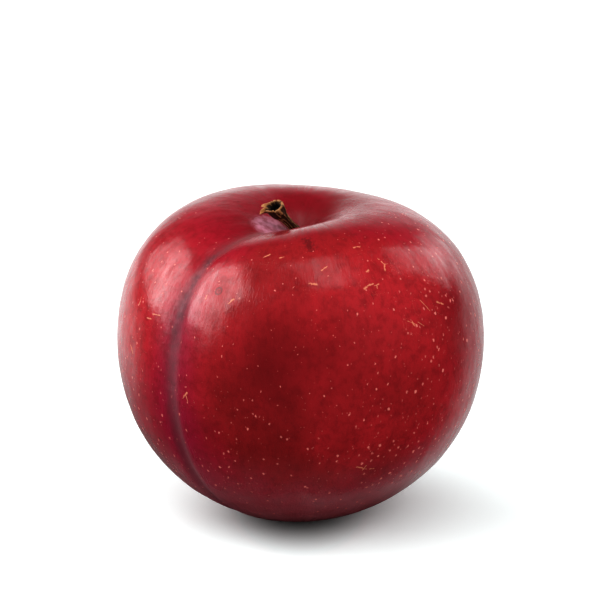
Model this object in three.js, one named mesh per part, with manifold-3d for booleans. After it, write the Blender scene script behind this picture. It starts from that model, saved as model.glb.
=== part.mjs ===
// A ripe red plum with its stalk, resting on the small flat spot under it.
//
// Millimetres, +Z up. The origin is the centre of the flat spot, Z is the fruit's own axis, and
// its seam runs down the -Y side. The fruit grew as one piece and is one solid; the stalk is another.

import * as THREE from 'three';
import { mergeVertices } from 'three/addons/utils/BufferGeometryUtils.js';
import Module from 'manifold-3d';

// ---- Fruit: driving dimensions ----

const BODY_RADIUS = 31.6;
const REST_SPOT_RADIUS = 6.5;

// How the side view differs from a circle, as shares of the body radius.
const FLATTENING = 0.044; // lower and wider than a ball
const HEART_SHAPE = 0.051; // widest above the middle and narrower below
const SQUARE_SHOULDERS = 0.037; // fuller where the sides turn into the top
const NARROW_BASE = 0.012; // drawn in above the flat spot

// How the plan view differs from a circle, as shares of the body radius.
const CHEEK_SWELL = 0.0155; // wider across the cheeks than along the seam
const CHEEK_SWELL_UP = 0.0445; // and more so towards the top
const CHEEK_TURN = 0.023; // the swell stands a little turned from the X axis

// The cavity that the stalk stands in.
const CAVITY_DEPTH = 5.8;
const CAVITY_RADIUS = 8.3;
const CAVITY_SEAM_RADIUS = 13.3; // it runs out further towards the seam
const CAVITY_STEEPNESS = 1.6;

// The seam: a narrow groove with the -X cheek a little lower beside it, in a wide dip of the shoulder.
const SEAM_DEPTH = 0.55;
const SEAM_HALF_WIDTH = 1.3;
const SEAM_SOFTENING = 0.55; // how much wider its shapes are above the middle than low down
const SEAM_SWAY = [-0.9, -1.8, 0.45, 2.25]; // mm towards +X, by powers of the height
const LOW_CHEEK_STEP = 0.35;
const LOW_CHEEK_EDGE = 0.6;
const LOW_CHEEK_REACH = 9.0;
const DIP_DEPTH = 0.9;
const DIP_HALF_WIDTH = 6.5;

// Where those shapes set in and are full, as shares of the body radius.
const SEAM_FROM_SIDE = [0.02, 0.3]; // towards -Y
const SEAM_FROM_BASE = [-0.98, -0.75]; // towards +Z
const SOFTENING_UP = [-0.5, 0.1];
const DIP_FROM_SIDE = [0.1, 0.6];
const DIP_UP = [-0.2, 0.8];

// ---- Stalk: driving dimensions ----

const STALK_BEND = new THREE.Vector3(-1.0, -3.9, 3.8); // from the cavity floor: the foot points here
const STALK_END = new THREE.Vector3(-0.8, -5.8, 6.1); // from the cavity floor: the middle of the cup
const STALK_THIN_RADIUS = 0.7;
const STALK_THICK_RADIUS = 0.88;
const STALK_KNOT_RADIUS = 0.98; // just under the cup
const CUP_RADIUS = 1.7;
const CUP_WALL = 0.35;
const CUP_DEPTH = 1.7;
const CUP_TILT = 0.27; // the rim is cut aslant: fall along the stalk for each step across it
const CUP_FROM = 0.84; // share of the length where the slant sets in
const FLAKE_REACH = 1.35; // the torn flake that stands out of the cup's rim
const FLAKE_AZIMUTH = -2.1; // round the stalk, from its upper side
const FLAKE_SHARPNESS = 6;
const FLAKE_FROM = 0.9; // share of the length where the flake sets in
const SOCKET_DEPTH = 1.5;
const CLEARANCE = 0.3; // between the stalk and its socket

// The outside of the stalk: share of its length, and radius there.
const STALK_OUTSIDE = [
  [0, STALK_THICK_RADIUS],
  [0.16, STALK_THICK_RADIUS],
  [0.3, STALK_THIN_RADIUS],
  [0.55, STALK_THIN_RADIUS],
  [0.7, STALK_KNOT_RADIUS],
  [0.77, 0.76 * CUP_RADIUS],
  [0.9, 0.96 * CUP_RADIUS],
  [1, CUP_RADIUS],
];

// The hollow of the cup: share of its depth, and share of the radius at its rim.
const CUP_INSIDE = [
  [0, 1],
  [0.4, 0.8],
  [1, 0.4],
];

// ---- Mesh steps ----

const FRUIT_COLUMNS = 72;
const FRUIT_RINGS = 36;
const COLUMN_CROWDING = 0.6; // columns stand closer together at the seam
const RING_CROWDING = 0.08; // rings stand closer together at the top and bottom
const STALK_SIDES = 14;
const SOCKET_SIDES = 16;

const SKIN = new THREE.MeshStandardMaterial({ color: 0x9c1820, roughness: 0.28, metalness: 0 });
const BARK = new THREE.MeshStandardMaterial({ color: 0x4a2c18, roughness: 0.85, metalness: 0 });

const SEAM_AZIMUTH = -Math.PI / 2;
const ACROSS_CHEEKS = new THREE.Vector3(1, 0, 0);
const { smoothstep } = THREE.MathUtils;

// ---- Fruit ----

// Legendre polynomials: each is one plain way in which a round profile is bent.
const flattened = (height) => (3 * height ** 2 - 1) / 2;
const heartShaped = (height) => (5 * height ** 3 - 3 * height) / 2;
const squared = (height) => (35 * height ** 4 - 30 * height ** 2 + 3) / 8;
const drawnIn = (height) => (63 * height ** 5 - 70 * height ** 3 + 15 * height) / 8;

function cavitySink({ x, y, z }) {
  if (z <= 0) {
    return 0;
  }
  const radiusAlong = y < 0 ? CAVITY_SEAM_RADIUS : CAVITY_RADIUS;
  const reach = BODY_RADIUS * Math.hypot(x / CAVITY_RADIUS, y / radiusAlong);
  return CAVITY_DEPTH * Math.exp(-(reach ** CAVITY_STEEPNESS));
}

function seamSink({ x, y, z }) {
  const sway = SEAM_SWAY.reduce((sum, share, power) => sum + share * z ** power, 0);
  const aside = BODY_RADIUS * x - sway;
  const softer = 1 + SEAM_SOFTENING * smoothstep(z, ...SOFTENING_UP);
  const groove = SEAM_DEPTH * Math.exp(-((aside / (softer * SEAM_HALF_WIDTH)) ** 2));
  const lowSide = 1 / (1 + Math.exp(aside / (softer * LOW_CHEEK_EDGE)));
  const lowCheek = LOW_CHEEK_STEP * lowSide * Math.exp(-Math.abs(aside) / LOW_CHEEK_REACH);
  const dip = DIP_DEPTH * Math.exp(-((aside / DIP_HALF_WIDTH) ** 2));
  const onSeam = smoothstep(-y, ...SEAM_FROM_SIDE) * smoothstep(z, ...SEAM_FROM_BASE);
  const onShoulder = smoothstep(-y, ...DIP_FROM_SIDE) * smoothstep(z, ...DIP_UP);
  return onSeam * (groove + lowCheek) + onShoulder * dip;
}

// The point of the skin in a direction from the body's centre, given by its polar angle and azimuth.
function skinPoint(polar, azimuth) {
  const x = Math.sin(polar) * Math.cos(azimuth);
  const y = Math.sin(polar) * Math.sin(azimuth);
  const z = Math.cos(polar);
  const direction = new THREE.Vector3(x, y, z);
  const profile = 1 - FLATTENING * flattened(z) - HEART_SHAPE * heartShaped(z)
    - SQUARE_SHOULDERS * squared(z) - NARROW_BASE * drawnIn(z);
  const cheeks = (CHEEK_SWELL + CHEEK_SWELL_UP * z) * (x * x - y * y) + 2 * CHEEK_TURN * x * y;
  const radius = BODY_RADIUS * (profile + cheeks) - cavitySink(direction) - seamSink(direction);
  return direction.multiplyScalar(radius);
}

// The flat spot lies where the rounded base has grown to the spot's radius.
const spotEdge = Math.PI - Math.asin(REST_SPOT_RADIUS / BODY_RADIUS);
const centreHeight = -skinPoint(spotEdge, 0).z;

function fruitGeometry() {
  const geometry = new THREE.SphereGeometry(1, FRUIT_COLUMNS, FRUIT_RINGS);
  const { position, uv } = geometry.attributes;
  for (let i = 0; i < position.count; i += 1) {
    const turn = 2 * Math.PI * (uv.getX(i) % 1);
    const azimuth = SEAM_AZIMUTH + turn - COLUMN_CROWDING * Math.sin(turn);
    const ring = 1 - uv.getY(i);
    const polar = Math.PI * (ring - RING_CROWDING * Math.sin(2 * Math.PI * ring));
    const point = skinPoint(polar, azimuth);
    position.setXYZ(i, point.x, point.y, Math.max(point.z + centreHeight, 0));
  }
  return geometry;
}

// ---- Stalk ----

// The floor of the cavity, where the stalk comes out of the flesh.
const cavityFloor = skinPoint(0, 0);
cavityFloor.z += centreHeight;

// The stalk leaves its socket straight and bows over towards the seam.
const rootDirection = STALK_BEND.clone().normalize();
const stalkLine = new THREE.QuadraticBezierCurve3(
  rootDirection.clone().multiplyScalar(CLEARANCE - SOCKET_DEPTH),
  STALK_BEND,
  STALK_END,
);

// Half of the stalk's section: up the outside, over the rim, and down into the hollow cup.
function stalkProfile(length) {
  const outside = STALK_OUTSIDE.map(([share, radius]) => [radius, share * length]);
  const rimRadius = CUP_RADIUS - CUP_WALL;
  const inside = CUP_INSIDE.map(([deep, share]) => [share * rimRadius, length - deep * CUP_DEPTH]);
  const points = [[0, 0], ...outside, ...inside, [0, length - CUP_DEPTH]];
  return points.map(([radius, along]) => new THREE.Vector2(radius, along));
}

function stalkGeometry() {
  const length = stalkLine.getLength();
  const geometry = new THREE.LatheGeometry(stalkProfile(length), STALK_SIDES);
  const { position } = geometry.attributes;
  for (let i = 0; i < position.count; i += 1) {
    const across = position.getX(i);
    const out = position.getZ(i);
    const share = Math.min(position.getY(i) / length, 1);
    const facing = Math.max(Math.cos(Math.atan2(out, across) - FLAKE_AZIMUTH), 0);
    const torn = facing ** FLAKE_SHARPNESS * smoothstep(share, FLAKE_FROM, 1);
    const flake = 1 + (FLAKE_REACH / CUP_RADIUS) * torn;
    const tangent = stalkLine.getTangentAt(share);
    const upward = tangent.clone().cross(ACROSS_CHEEKS).normalize();
    const sideways = upward.clone().cross(tangent);
    const point = stalkLine.getPointAt(share)
      .addScaledVector(upward, across * flake)
      .addScaledVector(sideways, out * flake)
      .addScaledVector(tangent, -CUP_TILT * across * smoothstep(share, CUP_FROM, 1));
    position.setXYZ(i, point.x, point.y, point.z);
  }
  return geometry;
}

// ---- Cutting the socket ----

const wasm = await Module();
wasm.setup();

// The same shape with its shared corners merged, so that it is one closed surface.
function welded(geometry) {
  geometry.deleteAttribute('normal');
  geometry.deleteAttribute('uv');
  return mergeVertices(geometry);
}

function toSolid(geometry) {
  const closed = welded(geometry);
  return new wasm.Manifold(new wasm.Mesh({
    numProp: 3,
    vertProperties: new Float32Array(closed.attributes.position.array),
    triVerts: new Uint32Array(closed.index.array),
  }));
}

function toGeometry(solid) {
  const { vertProperties, triVerts } = solid.getMesh();
  const geometry = new THREE.BufferGeometry();
  geometry.setAttribute('position', new THREE.BufferAttribute(vertProperties, 3));
  geometry.setIndex(new THREE.BufferAttribute(triVerts, 1));
  return geometry;
}

// A round hole in the cavity floor that the foot of the stalk stands in.
function socketGeometry() {
  const radius = STALK_THICK_RADIUS + CLEARANCE;
  const geometry = new THREE.CylinderGeometry(radius, radius, 2 * SOCKET_DEPTH, SOCKET_SIDES);
  const cylinderAxis = new THREE.Vector3(0, 1, 0);
  geometry.applyQuaternion(new THREE.Quaternion().setFromUnitVectors(cylinderAxis, rootDirection));
  geometry.translate(cavityFloor.x, cavityFloor.y, cavityFloor.z);
  return geometry;
}

// ---- The plum ----

const fruitSolid = toSolid(fruitGeometry()).subtract(toSolid(socketGeometry()));
const fruit = new THREE.Mesh(toGeometry(fruitSolid), SKIN);
fruit.name = 'fruit';

const stalk = new THREE.Mesh(welded(stalkGeometry()), BARK);
stalk.name = 'stalk';
stalk.position.copy(cavityFloor);

const plum = new THREE.Group();
plum.add(fruit, stalk);

export default plum;
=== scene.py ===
"""A ripe red plum with its stalk, resting on the small flat spot under it.

The file is laid out as a Blender add-on and is run as a script. Sizes are in metres, +Z is up, the
seam of the fruit runs down its -Y side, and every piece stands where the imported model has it.
"""

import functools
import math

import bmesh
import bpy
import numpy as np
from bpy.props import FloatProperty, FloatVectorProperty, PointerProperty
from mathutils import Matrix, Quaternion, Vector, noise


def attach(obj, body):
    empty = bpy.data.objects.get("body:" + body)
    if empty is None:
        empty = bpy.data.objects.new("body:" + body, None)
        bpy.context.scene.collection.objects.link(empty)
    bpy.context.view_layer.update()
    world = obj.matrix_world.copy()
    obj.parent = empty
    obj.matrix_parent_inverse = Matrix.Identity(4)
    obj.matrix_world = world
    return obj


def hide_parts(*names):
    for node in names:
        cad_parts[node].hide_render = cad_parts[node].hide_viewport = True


bl_info = {
    "name": "Plum",
    "version": (1, 0, 0),
    "blender": (4, 5, 0),
    "location": "3D View > Sidebar > Plum",
    "description": "Adds a ripe red plum, its stalk, a camera and a plain pale stage",
    "category": "Add Mesh",
}

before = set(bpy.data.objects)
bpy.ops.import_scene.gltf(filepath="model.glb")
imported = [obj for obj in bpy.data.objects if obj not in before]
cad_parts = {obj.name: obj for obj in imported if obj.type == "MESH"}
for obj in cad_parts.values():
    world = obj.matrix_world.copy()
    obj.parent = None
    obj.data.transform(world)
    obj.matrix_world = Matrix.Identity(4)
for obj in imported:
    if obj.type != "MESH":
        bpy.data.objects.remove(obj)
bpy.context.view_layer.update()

MM = 0.001

# ---- The fruit's shape ----

# How the side view differs from a circle, as shares of the body radius.
FLATTENING = 0.044
HEART_SHAPE = 0.051
SQUARE_SHOULDERS = 0.037
NARROW_BASE = 0.012

# How the plan view differs from a circle, as shares of the body radius.
CHEEK_SWELL = 0.0155
CHEEK_SWELL_UP = 0.0445
CHEEK_TURN = 0.023

CAVITY_STEEPNESS = 1.6
SEAM_SWAY = (-0.9 * MM, -1.8 * MM, 0.45 * MM, 2.25 * MM)  # towards +X, by powers of the height
SEAM_SOFTENING = 0.55  # how much wider the seam's shapes are above the middle than low down
LOW_CHEEK_STEP = 0.35 * MM
LOW_CHEEK_EDGE = 0.6 * MM
LOW_CHEEK_REACH = 9.0 * MM
DIP_DEPTH = 0.9 * MM
DIP_HALF_WIDTH = 6.5 * MM
LUMPS_ACROSS = Vector((3.4, 3.4, 3.0))  # how many lumps fit in the body's radius, along each axis
LUMPS_START = Vector((2, 5, 1))
LUMPS = (0.9, 2.1, 3)  # smoothness, growth in fineness from layer to layer, and number of layers

# The mesh of the fruit, and how its columns and rings crowd together where it has fine shapes.
FRUIT_COLUMNS = 96
FRUIT_RINGS = 64
FRUIT_SUBDIVISIONS = 2
COLUMN_CROWDING = 0.55
RING_CROWDING = 0.06

# ---- The skin's patterns ----

# Noise patterns, in cells for each millimetre.
WIDE_BLOTCHES = 0.07
MIDDLING_BLOTCHES = 0.2
SMALL_BLOTCHES = 0.6
LOW_BLOOM_CLOUDS = 0.22
CAVITY_BLOOM_AND_REFLECTION_CLOUDS = 0.9
STREAKS = 0.8
FINE_STREAKS = 3.2
GLOSS_PATCHES = 0.35
RAGGED_EDGES = 2.6
STROKE_SIZES = 1.6
BARK_GRAIN = 3.5

MIDDLING_SHIFT = (40, 0, 0)  # millimetres, so that two blotch patterns don't lie on each other
RIPE_EDGE_UNEVENNESS = 0.7
# How fast the streaks change along their length, as shares of how fast they change round the fruit.
STREAK_SHRINK = 0.3
FINE_STREAK_SHRINK = 0.5
RAGGEDNESS = 0.45  # millimetres over which the shifts of a dot's edge spread
STROKE_RAGGEDNESS = 5.0  # half widths by which a stroke's edge moves for each millimetre of shift

# Heights from the body's centre, in millimetres, between which a look sets in.
LOW_BLOOM_HEIGHTS = (-8.0, -27.0)
# Painted shade on the seam's band sets in over these heights and gives way to the seam's top colour over
# the next.
SEAM_SHADE_HEIGHTS = (6.0, 11.0)
SEAM_TOP_HEIGHTS = (20.0, 24.0)

# Pale dots of three sizes: cells for each millimetre, radius as a share of a cell, softness of the
# edge, strength, and a shift in millimetres that keeps the sizes apart.
DOTS = (
    (0.46, 0.135, 0.5, 1.0, (7, 3, 5)),
    (0.62, 0.165, 0.6, 0.7, (0, 0, 0)),
    (1.0, 0.18, 0.7, 0.4, (1, 9, 4)),
)
DOT_STRETCH = (1, 1, 0.72)  # the dots are longer up and down

# How strongly each mark covers the skin, and how matt the skin is low down and beside the seam.
NICK_STRENGTH = 0.6
SCAR_STRENGTH = 0.9
CAVITY_BLOOM_AND_REFLECTION_STRENGTH = 0.85
RING_STRENGTH = 0.7
LOW_BLOOM_STRENGTH = 0.75
LOW_BLOOM_MATTNESS = 0.6
BESIDE_SEAM_MATTNESS = 0.3

# What the patterns add to the roughness, to the gloss of the coat and to the relief.
ROUGHNESS_SHARES = {"streaks": 0.08, "pale": 0.25, "matt": 0.45}
GLOSS_SHARES = {"streaks": 0.6, "patches": 0.5}
RELIEF_SHARES = {"streaks": 1.3, "pale": 0.6, "patches": 1.0, "fine_streaks": 2.2}
SKIN_RELIEF = 0.016 * MM
BARK_RELIEF = 0.06 * MM

# The look of the seam, in millimetres towards +X from its line. The dull band has a middle and a
# half width, and what is added to them low down, on the shoulder and at the fold into the cavity.
BAND_MIDDLE = (0.2, 0.3, -0.3, 1.1)
BAND_HALF_WIDTH = (1.6, -0.25, -0.45, 0.9)
BAND_EDGE = 2.2  # the power that makes the band's edges steep
BAND_STRENGTH = 0.85
BAND_LOSS_ON_SHOULDER = 0.1
GROOVE_PLACE = -0.9
GROOVE_HALF_WIDTH = 0.65
GROOVE_STRENGTH = 0.75
BESIDE_SEAM_PLACE = 0.5
BESIDE_SEAM_HALF_WIDTH = 5.0
BESIDE_SEAM_STRENGTH = 0.8

# Brighter and darker areas of the skin, seen from the camera, red blotches with painted light and
# painted shade: strength, place to the right and up, reach to the sides and up, as shares of the
# body radius.
BRIGHT_PATCHES_AND_PAINTED_LIGHT = (
    (1.0, 0.52, 0.24, 0.34, 0.30),
    (0.7, 0.38, -0.42, 0.26, 0.18),
    (0.3, 0.08, 0.50, 0.34, 0.20),
    (0.95, -0.76, 0.28, 0.24, 0.42),
    (0.5, -0.88, 0.08, 0.20, 0.25),
    (0.5, -0.50, 0.28, 0.20, 0.22),
    (0.6, 0.80, -0.28, 0.16, 0.26),
)
DARK_PATCHES_AND_PAINTED_SHADE = (
    (0.7, -0.18, -0.10, 0.24, 0.30),
    (0.25, 0.15, 0.0, 0.30, 0.25),
    (0.6, 0.82, 0.18, 0.14, 0.26),
)
CAVITY_SHADE = 0.4  # strength of the painted shade that darkens the skin round the stalk cavity

# ---- The stalk's shape ----

STALK_SIDES = 32
STALK_SUBDIVISIONS = 2
# From the cavity floor: where the foot of the stalk points, and the middle of the cup.
STALK_BEND = Vector((-1.0, -3.9, 3.8)) * MM
STALK_END = Vector((-0.8, -5.8, 6.1)) * MM
STALK_FOOT = 1.2 * MM  # how far the stalk reaches into the flesh
STALK_STEPS = 256  # steps along the bowed line

# Rings of the stalk from its foot to its rim: share of its length, and share of the radius named.
STALK_RINGS = (
    (0.08, 1.15, "thick"), (0.16, 1.0, "thick"), (0.3, 1.0, "thin"),
    (0.42, 0.98, "thin"), (0.55, 1.0, "thin"), (0.64, 0.95, "thick"),
    (0.71, 1.12, "thick"), (0.77, 0.76, "cup"), (0.83, 0.88, "cup"),
    (0.9, 0.96, "cup"), (0.96, 1.0, "cup"), (1.0, 0.98, "cup"),
)
# The hollow of the cup from its rim down: share of its depth, and share of its radius at the rim.
CUP_HOLLOW = ((0.0, 1.0), (0.12, 0.97), (0.4, 0.8), (0.75, 0.6), (1.0, 0.4))
CUP_FLOOR_INSET = 0.15  # share of the hollow's radius at the rim
CUP_TILT = 0.27  # the torn end is cut aslant: rise along the stalk for each step across it
PRONGS = ((190, 0.9), (230, 1.1))  # of the torn flake: degrees round the cup, share of its reach
PRONG_SHARPNESS = 40
FLAKE_DROOP = 0.4 * MM
RIM_TEAR = 0.2 * MM
BARK_RIDGE = 0.17 * MM
STALK_CORE = 0.4 * MM  # nearer to the stalk's own middle than this, the ridges die away
HOLLOW_RIDGE = 0.3  # height of the ridges inside the cup, as a share of those outside
RIDGES = (0.9, 2.1, 4, 1.0, 2.0)  # as for the lumps, then offset and gain
RIDGE_FINENESS = Vector((1.7, 1.7, 0.3))  # across the stalk, and for each millimetre along it
TEARS = (0.8, 2.2, 3)
TEAR_FINENESS = Vector((4.5, 4.5, 0.1))
TEAR_SHIFT = Vector((4, 0, 0))

# ---- Marks on the skin, by their pixels in the camera's image ----

# from, to, half width in millimetres
SCARS = {
    "fork_stem": ((385, 270), (384.6, 264.5), 0.14),
    "fork_left": ((384.6, 265), (381.5, 261.5), 0.11),
    "fork_right": ((385, 264.5), (388, 263.5), 0.08),
    "fork_dot": ((377.5, 258.5), (379.5, 259.3), 0.13),
    "chain_a": ((366.5, 287.2), (365, 288.5), 0.20),
    "chain_b": ((367.5, 285.5), (373, 284), 0.13),
    "chain_c": ((375, 285.5), (379, 284), 0.13),
    "chain_d": ((376.5, 285), (377.5, 288.5), 0.11),
    "dash_left": ((309.5, 283.5), (317, 284.5), 0.17),
    "dash_slant": ((321.5, 270.5), (327, 266.5), 0.12),
    "dash_top_left": ((263.5, 257.5), (270, 254.5), 0.14),
    "dash_top": ((279.5, 258), (284, 257), 0.13),
    "dash_right": ((354, 247.5), (359.5, 246.5), 0.14),
    "dot_right": ((366.5, 271.5), (368.5, 270.5), 0.16),
    "thread_top": ((420, 300), (430, 311), 0.06),
    "thread_low": ((408, 321), (417, 325), 0.08),
    "thread_cross": ((412, 321), (414.5, 326), 0.10),
    "thread_end": ((418, 322), (424, 326), 0.05),
    "grain_right": ((437, 302), (443, 304), 0.13),
    "lobe_dash_high": ((139.5, 304), (141.5, 297), 0.13),
    "lobe_dash_low": ((131, 345), (132.5, 352), 0.11),
    "lobe_dash_mid": ((147, 318), (151, 319), 0.11),
    "seam_dash": ((183, 398), (187, 392.5), 0.15),
    "seam_dash_end": ((186, 396), (187.5, 401), 0.09),
    "low_fork": ((357, 467), (366, 469), 0.13),
    "low_fork_tip": ((362.5, 470), (366.5, 465.5), 0.11),
    "low_dot": ((370, 469), (374, 468.5), 0.11),
    "blemish_dash": ((228, 304), (233.5, 299), 0.16),
    "shine_dash_high": ((205.5, 299), (207, 295), 0.09),
    "shine_dash_low": ((153, 314), (160, 315.5), 0.10),
    "rim_dash": ((130.5, 345), (133, 354), 0.10),
}
NICKS = {
    "ring_middle": ((218.5, 291), (219, 291), 0.22),
    "fleck": ((371.5, 294), (373.5, 299), 0.12),
    "lobe_nick": ((159, 438), (162, 441.5), 0.20),
    "brown_spot": ((306, 240), (311, 248), 0.9),
}
STROKE_EDGE = 1.3  # where a stroke has faded out, in its own half widths
MARK_MARGIN = 1.3  # millimetres round a mark in which its place is stored
FAR_FROM_MARKS = 99.0
BLEMISH_RING = (218.7, 291.0)
BLEMISH_RING_RADIUS = 0.62  # millimetres
BLEMISH_RING_HALF_WIDTH = 0.3  # millimetres
# The pale lilac patch in the stalk cavity: bloom with a painted reflection over it.
CAVITY_BLOOM_AND_REFLECTION = (271.0, 228.0)
CAVITY_BLOOM_AND_REFLECTION_REACH = 4.4 * MM

# ---- The stage ----

IMAGE_SIDE = 600  # pixels
SENSOR_WIDTH = 36  # millimetres
BODY_CENTRE_IN_IMAGE = (300.3, 347.5)  # pixels from the left and from the top

LIGHT_TARGET = Vector((0, 0, 30)) * MM
SOFTBOX_DISTANCE = 0.9
SUN_DISTANCE = 1.0
# name, degrees right of the camera, degrees up, width and height in degrees, tilt, brightness, and
# how far in from its edges the light fades, as a share of its half width
SOFTBOXES = (
    ("left_box", -91, 33, 60, 52, 0, 3.4, 0.32),
    ("left_core", -99, 25, 48, 32, -10, 1.9, 0.9),
    ("left_back_box", -129, 26, 23, 36, -6, 1.4, 0.25),
    ("right_box", 140, 16, 31, 32, 10, 1.0, 0.4),
    ("right_core", 121, 35, 32, 46, 18, 1.55, 0.22),
    ("front_box", 24, 80, 30, 46, 0, 1.6, 0.4),
)
# name, degrees right of the camera, degrees up, width of the light in degrees, strength
SUNS = (
    ("left_light", -98, 31, 90, 2.3),
    ("right_light", 64, 21, 80, 1.2),
    ("top_light", 10, 61, 60, 0.7),
)

# The contact shadow painted into the floor's colour is an oval, half as wide across the image as it
# is deep.
SHADOW_REACH = 29 * MM
SHADOW_CORE = 4 * MM
SHADOW_CORE_SHARE = 0.42  # what is left of the floor's colour in the core
FLOOR_GREY_FOR_LIGHT = 0.38  # the floor's grey for the light that it throws back up
SURROUNDINGS_LIGHT = 0.36  # how brightly the surroundings light the scene
MIRROR_ORIGIN = 25 * MM  # how far in front of the fruit's middle the mirrored floor fans out from
WALL_TURN = 177  # degrees right of the camera to the middle of the mirrored wall


# ---- Settings ----


def length_setting(name, description, default):
    return FloatProperty(
        name=name, description=description, default=default, unit="LENGTH", subtype="DISTANCE",
        precision=5)


def colour_setting(name, description, default, brightest=1):
    return FloatVectorProperty(
        name=name, description=description, default=default, subtype="COLOR", min=0, max=brightest)


class PlumFruitShape(bpy.types.PropertyGroup):
    """Sizes of the fruit."""

    body_radius: length_setting("Body Radius", "Mean radius of the fruit", 31.6 * MM)
    spot_radius: length_setting(
        "Rest Spot Radius", "Radius of the flat spot that the fruit stands on", 6.5 * MM)
    cavity_depth: length_setting(
        "Cavity Depth", "How deep the stalk cavity sinks below the shoulders", 5.8 * MM)
    cavity_radius: length_setting(
        "Cavity Radius", "Radius of the stalk cavity away from the seam", 8.3 * MM)
    cavity_seam_radius: length_setting(
        "Cavity Radius at the Seam", "Reach of the stalk cavity towards the seam", 13.3 * MM)
    seam_depth: length_setting("Seam Depth", "Depth of the narrow groove along the seam", 0.55 * MM)
    seam_half_width: length_setting(
        "Seam Half Width", "Half width of the narrow groove along the seam", 1.3 * MM)
    lump_height: length_setting(
        "Lump Height", "How far the skin rises and sinks in soft wide lumps", 0.1 * MM)


class PlumSkinLook(bpy.types.PropertyGroup):
    """Colours and finish of the skin."""

    # Bright Red also colours the painted light in the brighter patches.
    bright: colour_setting("Bright Red", "Colour of the brighter blotches", (0.44, 0.0265, 0.035))
    # The ripe side faces the camera; its warm and bright reds are partly painted light.
    warm: colour_setting(
        "Warm Red", "Colour of the ripe side between the blotches", (0.25, 0.0185, 0.0205))
    # Crimson spreads over the skin that faces the camera, partly as painted light.
    crimson: colour_setting("Crimson", "Colour round the ripe side", (0.315, 0.0135, 0.030))
    # Deep Red on the far side is partly painted shade.
    deep: colour_setting(
        "Deep Red", "Colour of the far side and of the dark blotches", (0.165, 0.0120, 0.0150))
    # The purple in the bottom of the seam is partly painted shade in the crease.
    purple: colour_setting("Purple", "Colour in the bottom of the seam", (0.16, 0.018, 0.040))
    seam: colour_setting("Seam", "Colour of the dull band along the seam", (0.17, 0.046, 0.060))
    beside_seam: colour_setting(
        "Beside Seam", "Crimson skin to either side of the seam", (0.30, 0.0170, 0.055))
    # Shaded Seam is painted shade on the band where the seam climbs the shoulder.
    seam_shade: colour_setting(
        "Shaded Seam", "Colour of the band where the seam climbs the shoulder",
        (0.075, 0.015, 0.026))
    seam_top: colour_setting(
        "Top of the Seam", "Colour of the band where it runs into the cavity",
        (0.20, 0.058, 0.060))
    bloom: colour_setting("Bloom", "Colour of the waxy bloom", (0.37, 0.115, 0.135))
    # Bloom with a painted reflection over it, in the stalk cavity.
    cavity_bloom_and_reflection: colour_setting(
        "Cavity Bloom", "Colour of the bloom left in the stalk cavity", (0.62, 0.27, 0.36))
    nicks: colour_setting("Nicks", "Colour of the dark specks", (0.085, 0.014, 0.015))
    dots: colour_setting("Dots", "Colour of the pale dots", (0.72, 0.21, 0.18))
    scars: colour_setting("Scars", "Colour of the dry scars", (0.68, 0.25, 0.14))
    roughness: FloatProperty(
        name="Roughness", description="Roughness of the bare skin", default=0.15, min=0, max=1)


class PlumStalkShape(bpy.types.PropertyGroup):
    """Sizes of the stalk."""

    thin_radius: length_setting("Thin Radius", "Radius of the stalk at its narrowest", 0.7 * MM)
    thick_radius: length_setting(
        "Thick Radius", "Radius of the stalk at its foot and under the cup", 0.88 * MM)
    cup_radius: length_setting("Cup Radius", "Radius of the hollow flared end", 1.7 * MM)
    cup_wall: length_setting("Cup Wall", "Wall thickness at the rim of the cup", 0.35 * MM)
    cup_depth: length_setting("Cup Depth", "Depth of the hollow end", 1.7 * MM)
    flake_reach: length_setting(
        "Flake Reach", "How far the torn flake stands out of the cup's rim", 1.35 * MM)


class PlumBarkLook(bpy.types.PropertyGroup):
    """Colours of the stalk."""

    dark: colour_setting("Dark Bark", "Colour in the furrows", (0.045, 0.018, 0.009))
    tan: colour_setting("Tan Bark", "Colour on the ridges", (0.37, 0.195, 0.088))
    torn: colour_setting("Torn Edge", "Colour of the torn rim", (0.44, 0.21, 0.085))
    # The near-black inside the hollow end is painted shade.
    hollow: colour_setting("Hollow", "Colour inside the hollow end", (0.006, 0.003, 0.002))


class PlumStage(bpy.types.PropertyGroup):
    """Camera and floor."""

    azimuth: FloatProperty(
        name="Camera Azimuth", description="Direction the camera stands in, from -Y towards +X",
        default=math.radians(45), subtype="ANGLE")
    elevation: FloatProperty(
        name="Camera Elevation", description="Height of the camera above the level",
        default=math.radians(18), subtype="ANGLE")
    distance: length_setting(
        "Camera Distance", "Distance from the camera to the middle of the fruit", 0.7)
    focal_length: FloatProperty(
        name="Focal Length", description="Focal length of the lens, in millimetres", default=236)
    floor_side: length_setting("Floor Side", "Side of the floor", 6.0)
    floor_colour: colour_setting("Floor", "Colour of the floor", (1.05, 1.125, 1.12), brightest=2)


# ---- Shape formulas ----


def smooth(values, low, high):
    """0 below low, 1 above high and a smooth rise between them."""
    share = np.clip((values - low) / (high - low), 0, 1)
    return share * share * (3 - 2 * share)


def hump(distance, reach):
    """1 where the distance is 0, fading to almost nothing two reaches off."""
    return np.exp(-((distance / reach) ** 2))


def aside_of_seam(x, z, shape):
    """Distance from the seam's line, positive on its +X side."""
    sway = sum(share * z**power for power, share in enumerate(SEAM_SWAY))
    return shape.body_radius * x - sway


def seam_share(y, z):
    """1 where the seam runs, fading out at its ends."""
    return smooth(-y, 0.02, 0.3) * smooth(z, -0.98, -0.75)


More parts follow.
